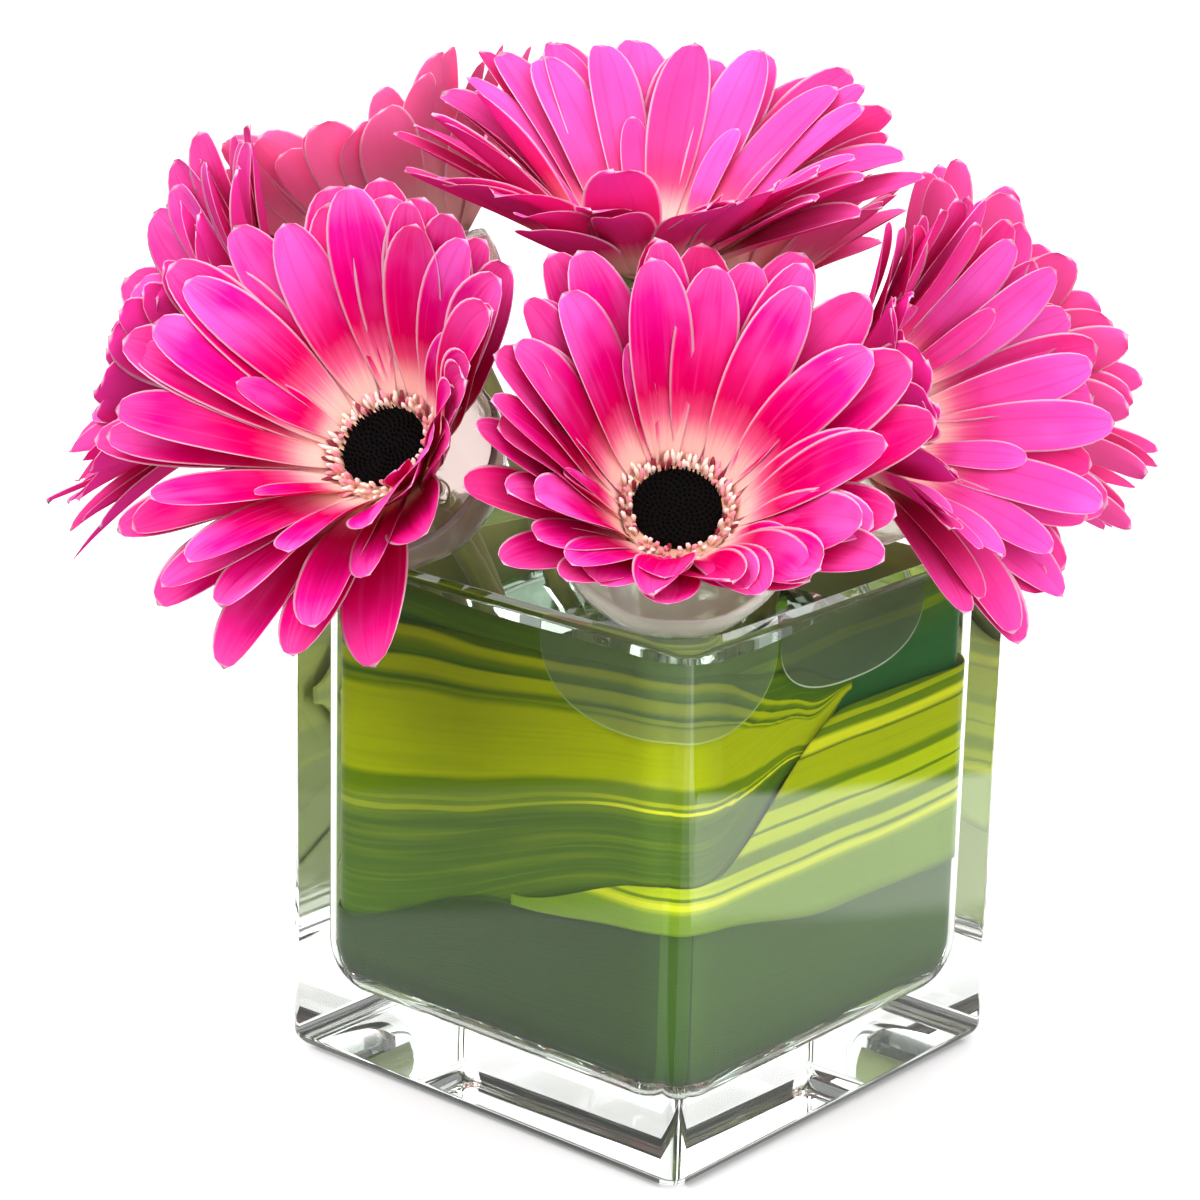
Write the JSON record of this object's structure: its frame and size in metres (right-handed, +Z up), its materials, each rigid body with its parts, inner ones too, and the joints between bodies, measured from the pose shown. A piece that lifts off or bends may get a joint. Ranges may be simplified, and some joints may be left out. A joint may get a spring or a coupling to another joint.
{
  "type": "gerberas in a vase",
  "caption": "Bunch of pink gerbera daisies with dark eyes, in clear plastic flower cups, standing in a thick square glass vase lined with striped leaves.",
  "frame": {"origin": "middle of the vase's base, on the surface that it stands on", "axes": "+Z up, the vase's sides face along X and Y, and its corner at +X -Y faces the view of the picture"},
  "size_m": [0.2367, 0.2436, 0.2366],
  "materials": {
    "glass": "clear, polished",
    "leaf_sloping": "green leaf with lime and yellow stripes, satin",
    "leaf_low": "dark green leaf, satin",
    "leaf_banded": "green leaf with lime and yellow stripes, satin",
    "leaf_lining": "dark green leaf, satin",
    "water": "clear water",
    "petals": "hot pink petals with pale margins, soft satin",
    "eyes": "near black, matte",
    "stems": "pale green, satin",
    "cups": "clear, thin"
  },
  "bodies": {
    "root": {"vase": "glass", "leaf_sloping": "leaf_sloping", "leaf_low": "leaf_low", "leaf_banded": "leaf_banded", "leaf_lining": "leaf_lining", "water": "water", "bloom_front_rays": "petals", "bloom_front_eye": "eyes", "bloom_front_stem": "stems", "bloom_front_cup": "cups", "bloom_front_left_rays": "petals", "bloom_front_left_eye": "eyes", "bloom_front_left_stem": "stems", "bloom_front_left_cup": "cups", "bloom_left_rays": "petals", "bloom_left_eye": "eyes", "bloom_left_stem": "stems", "bloom_left_cup": "cups", "bloom_back_left_rays": "petals", "bloom_back_left_eye": "eyes", "bloom_back_left_stem": "stems", "bloom_back_left_cup": "cups", "bloom_back_rays": "petals", "bloom_back_eye": "eyes", "bloom_back_stem": "stems", "bloom_back_cup": "cups", "bloom_back_right_rays": "petals", "bloom_back_right_eye": "eyes", "bloom_back_right_stem": "stems", "bloom_back_right_cup": "cups", "bloom_right_rays": "petals", "bloom_right_eye": "eyes", "bloom_right_stem": "stems", "bloom_right_cup": "cups", "bloom_top_rays": "petals", "bloom_top_eye": "eyes", "bloom_top_stem": "stems", "bloom_top_cup": "cups"}
  },
  "joints": []
}
